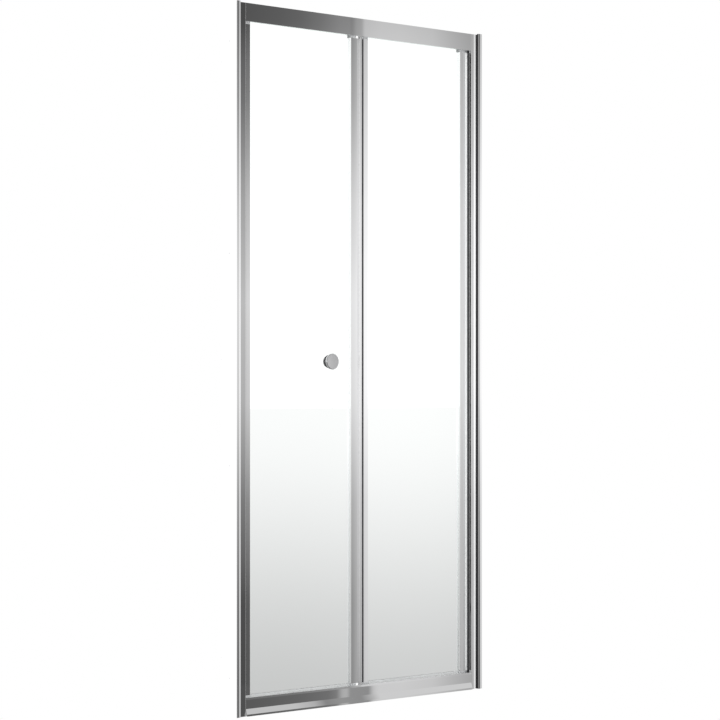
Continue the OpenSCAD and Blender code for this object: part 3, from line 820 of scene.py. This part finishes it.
class FinishSeals(Operator):
    """Pale vinyl on the wipers, and for the clear vinyl of the gaskets one that glows with painted
    light and has lips painted darker near the floor.
    """

    bl_idname = "shower_door.finish_seals"
    bl_label = "Finish Seals"

    def execute(self, context):
        finishes = context.scene.shower_door_finishes
        colour, polish = finishes.seal_colour, finishes.seal_roughness
        pale, _ = moulding("pale_vinyl", colour, polish, finishes)
        dress(pale, *PALE_SEALS)
        dress(self.clear_vinyl(finishes, colour, polish), *CLEAR_SEALS)
        return {"FINISHED"}

    def clear_vinyl(self, finishes, colour, polish):
        """Vinyl that glows with painted light, as if lit from behind, with lips painted darker near
        the floor as painted shade.
        """
        material, shader = moulding("clear_vinyl", colour, polish, finishes)
        tree = material.node_tree
        place = put(tree, "TexCoord").outputs["Object"]
        group = shared_group("Light through vinyl", make_seal_light)
        values = {"Position": place, "Low": finishes.glow_low, "High": finishes.glow_high}
        values["Colour"] = (*colour, 1.0)
        glow = use_group(tree, group, values)["Colour"]
        # Painted light: the gaskets glow, dimmer near the floor, standing in for light through the
        # vinyl
        feed(tree, shader["Emission Color"], glow)
        shader["Emission Strength"].default_value = finishes.seal_glow
        # Painted shade: the lips in front of the glass are painted darker near the floor
        lip = use_group(tree, group, {**values, "Least": finishes.lip_shade})["Colour"]
        lip_y, glass_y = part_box("lead_glass_gaskets")[0][1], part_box("lead_glass")[0][1]
        near = finishes.painted_shade_reach
        corners = ((-ALL_ACROSS, lip_y - near, 0.0), (ALL_ACROSS, glass_y - near, 0.0))
        colours = {"Outside": (*colour, 1.0), "Inside": lip}
        feed(tree, shader["Base Color"], strip_colour(tree, place, corners, colours))
        return material


class FinishFasteners(Operator):
    """Bright steel on the screws and pins."""

    bl_idname = "shower_door.finish_fasteners"
    bl_label = "Finish Screws and Pins"

    def execute(self, context):
        material, tree, shader, place = new_material("bright_steel")
        colour = context.scene.shower_door_finishes.steel_colour
        shader["Base Color"].default_value = (*colour, 1.0)
        shader["Metallic"].default_value = 1.0
        cloud = noise(tree, place, STEEL_SCALE, CLOUD_DETAIL)
        feed(tree, shader["Roughness"], span(tree, cloud, *CLOUD_SPAN, *STEEL_ROUGHNESS))
        dress(material, *FASTENERS)
        return {"FINISHED"}


class BuildKnob(Operator):
    """Turned pull knob with grip grooves, and the plate behind the glass."""

    bl_idname = "shower_door.build_knob"
    bl_label = "Build Pull Knob"

    def execute(self, context):
        finishes = context.scene.shower_door_finishes
        shape = context.scene.shower_door_knob
        self.low, self.high = (Vector(corner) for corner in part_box("knob_outer"))
        middle = self.middle = (self.low + self.high) / 2
        rough, smooth = finishes.knob_face_roughness, finishes.knob_side_roughness
        satin = turned_metal("knob_face", finishes.knob_colour, rough, middle, FACE_RINGS)
        rim = turned_metal("knob_rim", finishes.knob_rim_colour, smooth, middle, SIDE_RINGS)
        grip = turned_metal("knob_grip", finishes.knob_body_colour, smooth, middle, SIDE_RINGS)
        self.knob(context, shape, (rim, satin, grip))
        self.plate(context, shape, (grip,))
        return {"FINISHED"}

    def knob(self, context, shape, materials):
        """The knob in front of the glass, without the bolt's blind hole, which doesn't show."""
        radius = (self.high.x - self.low.x) / 2
        work = bmesh.new()
        spin_outline(work, self.knob_outline(shape, radius), self.middle)
        face_radius = radius - shape.rim
        neck = self.low.y + shape.face_depth
        round_corners(work, shape.corner)
        for face in work.faces:
            middle = face.calc_center_median()
            offset = middle - self.middle
            across = math.hypot(offset.x, offset.z)
            in_front = face.normal.dot(OUT_OF_DOOR) > FACING
            if in_front and across < face_radius:
                face.material_index = 1
            elif middle.y > neck:
                face.material_index = 2
        piece = finish_piece(context, work, "pull_knob", materials)
        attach(piece, "lead_panel")
        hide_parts("knob_outer")

    def knob_outline(self, shape, radius):
        """Points from the washer outwards, over the rim and in to the face's middle."""
        front, foot = self.low.y, self.high.y
        neck = front + shape.face_depth
        body, corner = shape.body_radius, shape.corner
        pitch = (foot - corner - neck) / shape.groove_count
        width = pitch - shape.groove_land
        outline = [(0.0, foot), (body - corner, foot)]
        for groove in range(shape.groove_count):
            start = foot - corner - groove * pitch
            outline.append((body, start))
            outline.append((body - shape.groove_depth, start - width / 2))
            outline.append((body, start - width))
        outline += [(body, neck), (radius, neck), (radius, front + shape.rim)]
        face_radius = radius - shape.rim
        for step in range(DISH_STEPS, -1, -1):
            part = step / DISH_STEPS
            outline.append((face_radius * part, front + shape.face_dish * (1.0 - part * part)))
        return outline

    def plate(self, context, shape, materials):
        """The plate behind the glass, with a recess for the bolt's head."""
        low, high = (Vector(corner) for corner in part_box("knob_inner"))
        radius = (high.x - low.x) / 2
        floor = high.y - shape.recess_depth
        outline = (
            (shape.bore_radius, low.y),
            (radius, low.y),
            (radius, high.y - shape.rim),
            (radius - shape.rim, high.y),
            (shape.recess_radius, high.y),
            (shape.recess_radius, floor),
            (shape.bore_radius, floor),
        )
        work = bmesh.new()
        spin_outline(work, outline, self.middle, closed=True)
        round_corners(work, shape.corner / 2)
        piece = finish_piece(context, work, "knob_plate", materials)
        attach(piece, "lead_panel")
        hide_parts("knob_inner")


# ---- studio ----

SENSOR_WIDTH = 36.0
FLOOR_SQUARES = 8
FLOOR_Z = -0.001
# Seen through the glass, the floor is painted darker as painted shade, smoothly from FLOOR_FAR to
# FLOOR_NEAR metres from the camera's foot
FLOOR_FAR, FLOOR_NEAR, FLOOR_LEAST = 95.0, 5.7, 0.59

# What the metal mirrors is a brightness by turn and height in degrees. Its stops were set from
# greys read in the photo, to match the metal as seen from there; other views only follow.

# Brightness seen in the front faces, by height: on the left, and on the right
LEFT_BY_HEIGHT = (
    (-20.0, 0.09),
    (-7.5, 0.1),
    (-5.4, 0.112),
    (-2.9, 0.29),
    (-0.4, 0.63),
    (0.6, 0.67),
    (2.1, 0.74),
    (4.6, 0.54),
    (7.1, 0.24),
    (8.1, 0.18),
    (9.0, 0.103),
    (12.0, 0.08),
    (16.0, 0.3),
    (20.0, 0.57),
)
RIGHT_BY_HEIGHT = (
    (-20.0, 0.6),
    (-7.5, 0.69),
    (-6.6, 0.73),
    (-2.9, 0.84),
    (0.0, 1.1),
    (2.5, 1.1),
    (4.6, 1.0),
    (8.1, 0.71),
    (9.0, 0.62),
    (14.0, 0.6),
    (20.0, 0.65),
)
# The same on the side towards the camera
NEAR_BY_HEIGHT = (
    (-20.0, 0.25),
    (-7.5, 0.45),
    (-6.6, 0.52),
    (-2.9, 0.72),
    (-0.4, 0.95),
    (4.0, 0.95),
    (8.0, 0.66),
    (10.0, 0.6),
    (16.0, 0.4),
    (20.0, 0.6),
)
# Share of the right-hand brightness by turn
RIGHT_BY_TURN = (
    (37.0, 0.0),
    (38.2, 0.0),
    (39.1, 0.04),
    (39.6, 0.08),
    (40.1, 0.17),
    (40.6, 0.31),
    (40.83, 0.33),
    (40.88, 0.27),
    (40.93, 0.36),
    (41.0, 0.5),
    (41.08, 0.53),
    (41.14, 0.6),
    (41.2, 0.92),
    (41.6, 1.0),
    (47.0, 1.0),
)
# The same from SILL_FROM down, which only the sill's front mirrors
RIGHT_AT_SILL = (
    (38.2, 0.02),
    (39.6, 0.08),
    (40.3, 0.14),
    (40.5, 0.22),
    (40.65, 0.62),
    (40.76, 0.66),
    (40.84, 0.36),
    (41.3, 0.34),
    (41.42, 0.85),
    (41.6, 1.08),
    (47.0, 1.08),
)
SILL_FROM, SILL_TO = -7.42, -7.5
# Shade on the right-hand brightness by turn
RIGHT_SHADE = (
    (42.1, 1.0),
    (42.9, 0.92),
    (43.4, 0.75),
    (43.7, 0.66),
    (43.85, 0.62),
    (43.89, 0.66),
    (43.93, 0.75),
    (43.96, 1.65),
    (43.99, 1.65),
    (44.04, 1.1),
    (44.2, 1.0),
)
# Shade on the left-hand brightness by turn
LEFT_SHADE = (
    (37.6, 1.0),
    (38.09, 1.0),
    (38.11, 0.77),
    (38.23, 0.77),
    (38.25, 1.0),
    (38.6, 1.0),
)
# Share of the near side's brightness by turn
NEAR_BY_TURN = ((-180.0, 1.0), (-20.0, 1.0), (10.0, 0.7), (25.0, 0.5), (34.0, 0.2), (37.8, 0.0))
# Turns between which the near side's brightness comes back behind the door
BACK_FROM, BACK_TO = 110.0, 175.0
# Dark and bright strips beside the camera, which the corners between the pieces mirror
DARK_STRIP = (
    (-44.6, 1.0),
    (-44.5, 1.6),
    (-43.95, 1.6),
    (-43.92, 0.01),
    (-43.78, 0.01),
    (-43.75, 1.0),
    (-43.4, 1.0),
)
# White beside the lead panel, by turn and by height
SIDE_BY_TURN = ((-170.0, 0.0), (-155.0, 1.0), (-110.0, 1.0), (-95.0, 0.0))
SIDE_BY_HEIGHT = ((-24.0, 0.0), (-13.0, 1.0), (13.0, 1.0), (24.0, 0.0))
# Between the turns SIDE_FROM and SIDE_TO it changes to this, which is dimmer near the floor
SIDE_NEAR_FLOOR = (
    (-20.0, 0.5),
    (-7.5, 0.66),
    (-6.6, 0.73),
    (-5.4, 0.82),
    (-4.1, 0.92),
    (-2.9, 1.0),
    (-1.5, 1.2),
    (20.0, 1.2),
)
SIDE_FROM, SIDE_TO = -141.0, -140.2
# Brightness high up by turn, which the sill's sloped foot mirrors
UPPER_BY_TURN = (
    (38.0, 0.63),
    (42.8, 0.61),
    (43.3, 0.5),
    (43.6, 0.27),
    (44.0, 0.33),
    (44.5, 0.3),
    (44.7, 0.45),
    (44.95, 0.7),
    (48.0, 0.68),
)
# Heights between which it takes over
UPPER_FROM, UPPER_TO = 13.0, 18.0


def direction_angles(tree):
    """Turn from -Y towards +X and height above the horizon, in degrees."""
    ray = put(tree, "TexCoord").outputs["Generated"]
    axes = put(tree, "SeparateXYZ", {"Vector": ray}).outputs
    away = calc(tree, "MULTIPLY", axes["Y"], -1.0)
    turn = calc(tree, "DEGREES", calc(tree, "ARCTAN2", axes["X"], away))
    height = calc(tree, "DEGREES", calc(tree, "ARCSINE", axes["Z"]))
    return turn, height


def mirrored_studio(tree, side_light):
    """Brightness of the studio as the metal mirrors it."""
    turn, height = direction_angles(tree)
    left = ramp(tree, height, LEFT_BY_HEIGHT)
    left = calc(tree, "MULTIPLY", left, ramp(tree, turn, LEFT_SHADE))
    right = ramp(tree, height, RIGHT_BY_HEIGHT)
    right = calc(tree, "MULTIPLY", right, ramp(tree, turn, RIGHT_SHADE))
    at_sill = span(tree, height, SILL_TO, SILL_FROM, 1.0, 0.0)
    share = blend(
        tree, at_sill, ramp(tree, turn, RIGHT_BY_TURN), ramp(tree, turn, RIGHT_AT_SILL)
    )
    front = blend(tree, share, left, right)
    upper = ramp(tree, turn, UPPER_BY_TURN)
    front = blend(tree, span(tree, height, UPPER_FROM, UPPER_TO), front, upper)
    near = ramp(tree, height, NEAR_BY_HEIGHT)
    near = calc(tree, "MULTIPLY", near, ramp(tree, turn, DARK_STRIP))
    back = span(tree, turn, BACK_FROM, BACK_TO)
    near_share = calc(tree, "ADD", ramp(tree, turn, NEAR_BY_TURN), back, clamp=True)
    around = blend(tree, near_share, front, near)
    beside = ramp(tree, turn, SIDE_BY_TURN)
    beside = calc(tree, "MULTIPLY", beside, ramp(tree, height, SIDE_BY_HEIGHT))
    low_side = ramp(tree, height, SIDE_NEAR_FLOOR)
    side = blend(tree, span(tree, turn, SIDE_FROM, SIDE_TO), side_light, low_side)
    return blend(tree, beside, around, side)


class BuildStudio(Operator):
    """Camera, pale floor and soft white light."""

    bl_idname = "shower_door.build_studio"
    bl_label = "Build Studio"

    def execute(self, context):
        studio = context.scene.shower_door_studio
        self.place_camera(context, studio)
        self.lay_floor(context, studio)
        self.light(context, studio)
        return {"FINISHED"}

    def place_camera(self, context, studio):
        data = bpy.data.cameras.new("camera")
        data.lens = studio.camera_lens
        data.sensor_width = SENSOR_WIDTH
        data.shift_y = studio.camera_rise
        camera = bpy.data.objects.new("camera", data)
        camera.location = studio.camera_place
        camera.rotation_euler = (QUARTER_TURN, 0.0, -studio.camera_turn)
        context.scene.collection.objects.link(camera)
        context.scene.camera = camera

    def lay_floor(self, context, studio):
        mesh = bpy.data.meshes.new("floor")
        work = bmesh.new()
        half = studio.floor_size / 2
        bmesh.ops.create_grid(work, x_segments=FLOOR_SQUARES, y_segments=FLOOR_SQUARES, size=half)
        bmesh.ops.translate(work, verts=work.verts, vec=(0.0, 0.0, FLOOR_Z))
        work.to_mesh(mesh)
        work.free()
        floor = bpy.data.objects.new("floor", mesh)
        floor.visible_glossy = False
        floor.visible_diffuse = False
        floor.visible_shadow = False
        context.scene.collection.objects.link(floor)
        mesh.materials.append(self.floor_material(studio))

    def floor_material(self, studio):
        """White from above, dimmer through the glass as painted shade, and clear from below."""
        material = bpy.data.materials.new("pale_floor")
        tree = empty_tree(material)
        place = put(tree, "TexCoord").outputs["Object"]
        foot = (studio.camera_place[0], studio.camera_place[1], FLOOR_Z)
        away = put(tree, "VectorMath", {0: place, 1: foot}, operation="DISTANCE").outputs["Value"]
        near = calc(tree, "DIVIDE", 1.0, away)
        ends = (1.0 / FLOOR_FAR, 1.0 / FLOOR_NEAR, 1.0, FLOOR_LEAST)
        shade = span(tree, near, *ends, interpolation_type="SMOOTHSTEP")
        through = put(tree, "LightPath").outputs["Is Transmission Ray"]
        bright = blend(tree, through, studio.white_light, shade)
        glow = put(tree, "Emission", {"Strength": bright}).outputs[0]
        below = put(tree, "NewGeometry").outputs["Backfacing"]
        clear = put(tree, "BsdfTransparent").outputs[0]
        mix = put(tree, "MixShader", {0: below, 1: glow, 2: clear}).outputs[0]
        put(tree, "OutputMaterial", {"Surface": mix})
        return material

    def light(self, context, studio):
        """White all round, but for what the metal mirrors and what the glass shows."""
        world = bpy.data.worlds.new("studio")
        context.scene.world = world
        tree = empty_tree(world)
        paths = put(tree, "LightPath").outputs
        mirrored = mirrored_studio(tree, studio.side_light)
        seen = blend(tree, paths["Is Glossy Ray"], studio.white_light, mirrored)
        strength = blend(tree, paths["Is Transmission Ray"], seen, studio.through_light)
        white = (1.0, 1.0, 1.0, 1.0)
        light = put(tree, "Background", {"Color": white, "Strength": strength}).outputs[0]
        put(tree, "OutputWorld", {"Surface": light})
        context.scene.view_settings.view_transform = "Standard"


STEPS = (
    FinishSections,
    BuildPanes,
    FinishMouldings,
    FinishSeals,
    FinishFasteners,
    BuildKnob,
    BuildStudio,
)


class DoorPanel(Panel):
    """The door's steps and settings."""

    bl_idname = "VIEW3D_PT_shower_door"
    bl_label = "Bifold Shower Door"
    bl_space_type = "VIEW_3D"
    bl_region_type = "UI"
    bl_category = "Shower Door"

    def draw(self, context):
        for step in STEPS:
            self.layout.operator(step.bl_idname)
        for name in SETTINGS:
            settings = getattr(context.scene, name)
            box = self.layout.box()
            for key in settings.bl_rna.properties.keys():
                if key not in ("rna_type", "name"):
                    box.prop(settings, key)


CLASSES = (*SETTINGS.values(), *STEPS, DoorPanel)


def register():
    for kind in CLASSES:
        bpy.utils.register_class(kind)
    for name, kind in SETTINGS.items():
        setattr(bpy.types.Scene, name, PointerProperty(type=kind))


def unregister():
    for name in SETTINGS:
        delattr(bpy.types.Scene, name)
    for kind in reversed(CLASSES):
        bpy.utils.unregister_class(kind)


def main():
    register()
    for step in STEPS:
        group, name = step.bl_idname.split(".")
        getattr(getattr(bpy.ops, group), name)()


if __name__ == "__main__":
    main()
